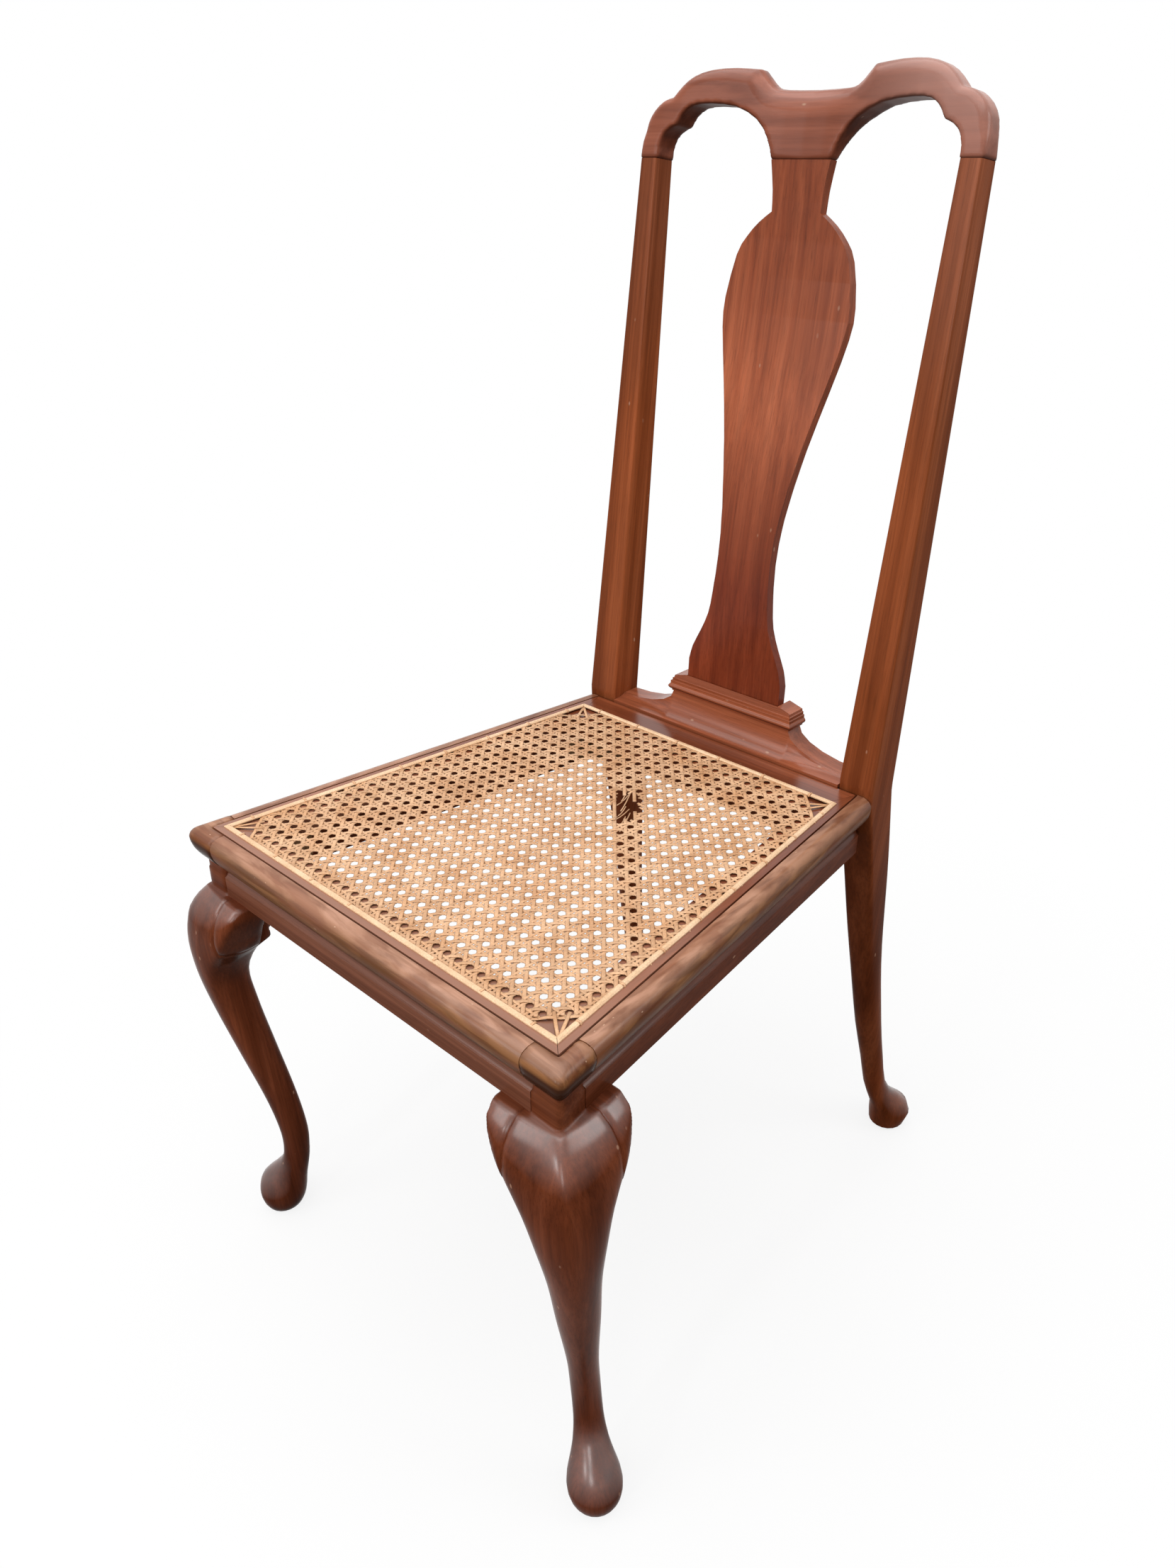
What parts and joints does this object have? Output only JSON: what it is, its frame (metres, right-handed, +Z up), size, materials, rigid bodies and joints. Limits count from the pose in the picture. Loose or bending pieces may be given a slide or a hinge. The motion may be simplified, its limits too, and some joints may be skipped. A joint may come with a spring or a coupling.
{
  "type": "queen anne dining chair",
  "caption": "Mahogany dining chair with cabriole front legs, pad feet, a vase splat under a yoke crest, and a caned drop-in seat that lifts out of its rails.",
  "frame": {"origin": "On the floor, at the middle of the box round the whole chair", "axes": "+Z up, -Y the way the sitter faces, +X to the right of someone who looks at the chair's front"},
  "size_m": [0.4748, 0.5682, 0.9628],
  "materials": {
    "mahogany": "satin french polish on reddish-brown mahogany",
    "mahogany_dark": "satin french polish on darker mahogany",
    "mahogany_pale": "satin french polish on straight-grained warm mahogany",
    "beech": "bare sawn beech, hidden under the seat",
    "cane": "bare split rattan cane, golden tan",
    "binder": "wide binding cane, pale and slightly glossy"
  },
  "bodies": {
    "frame": {"front_rail": "mahogany", "left_rail": "mahogany", "right_rail": "mahogany", "back_post_left": "mahogany", "back_post_right": "mahogany", "crest_rail": "mahogany", "shoe": "mahogany", "cap_front": "mahogany", "cap_return_left": "mahogany", "cap_return_right": "mahogany", "front_leg_left": "mahogany_dark", "front_leg_right": "mahogany_dark", "front_ear_left": "mahogany_dark", "front_ear_right": "mahogany_dark", "side_ear_left": "mahogany_dark", "side_ear_right": "mahogany_dark", "rear_rail": "mahogany_dark", "splat": "mahogany_pale", "front_block_left": "beech", "front_block_right": "beech", "rear_block_left": "beech", "rear_block_right": "beech"},
    "seat": {"seat_front": "mahogany_pale", "seat_left": "mahogany_pale", "seat_rear": "mahogany_pale", "seat_right": "mahogany_pale", "cane_panel": "cane", "binder_front": "binder", "binder_left": "binder", "binder_rear": "binder", "binder_right": "binder"}
  },
  "joints": [
    {"name": "seat_lift", "type": "slide", "parent": "frame", "child": "seat", "axis": [0, 0.061, 0.9981], "range_m": [0, 0.15]}
  ]
}
